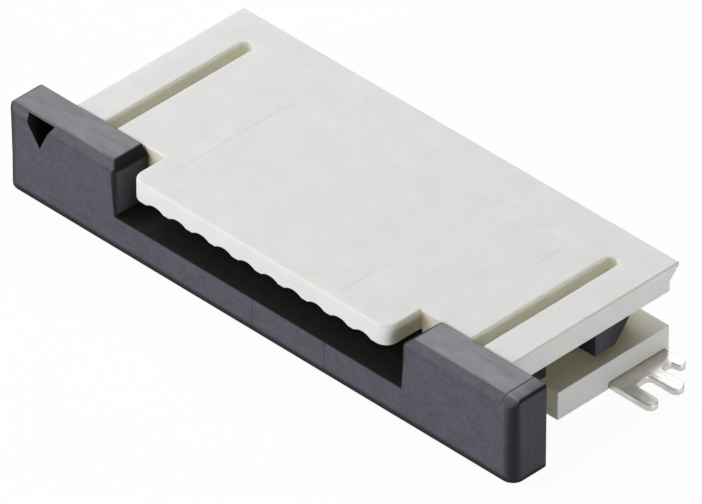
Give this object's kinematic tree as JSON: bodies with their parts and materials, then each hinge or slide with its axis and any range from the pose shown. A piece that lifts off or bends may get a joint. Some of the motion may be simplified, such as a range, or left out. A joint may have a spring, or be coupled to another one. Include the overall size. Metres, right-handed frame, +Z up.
{
  "type": "fpc connector",
  "caption": "Right-angle surface-mount connector for flat flexible cable, with a white housing, a dark slider that locks the cable, stamped contacts and side solder tabs.",
  "frame": {"origin": "middle of the part's width and depth, on the board's surface, with the slider closed", "axes": "+X along the row of contacts, towards the last circuit; +Y from the cable's mouth to the rear; +Z up from the board"},
  "size_m": [0.0224, 0.0094, 0.0033],
  "materials": {
    "housing_plastic": "fine satin moulded liquid-crystal polymer, off-white",
    "slider_plastic": "satin glass-filled moulding, dark grey",
    "contact_metal": "stamped copper alloy strip with matt tin plating",
    "tab_metal": "stamped sheet with matt tin plating"
  },
  "bodies": {
    "housing": {"housing": "housing_plastic", "contact_01": "contact_metal", "contact_02": "contact_metal", "contact_03": "contact_metal", "contact_04": "contact_metal", "contact_05": "contact_metal", "contact_06": "contact_metal", "contact_07": "contact_metal", "contact_08": "contact_metal", "contact_09": "contact_metal", "contact_10": "contact_metal", "solder_tab_left": "tab_metal", "solder_tab_right": "tab_metal"},
    "slider": {"slider": "slider_plastic"}
  },
  "joints": [
    {"name": "slider_travel", "type": "slide", "parent": "housing", "child": "slider", "axis": [0, -1, 0], "range_m": [0, 0.0009]}
  ]
}
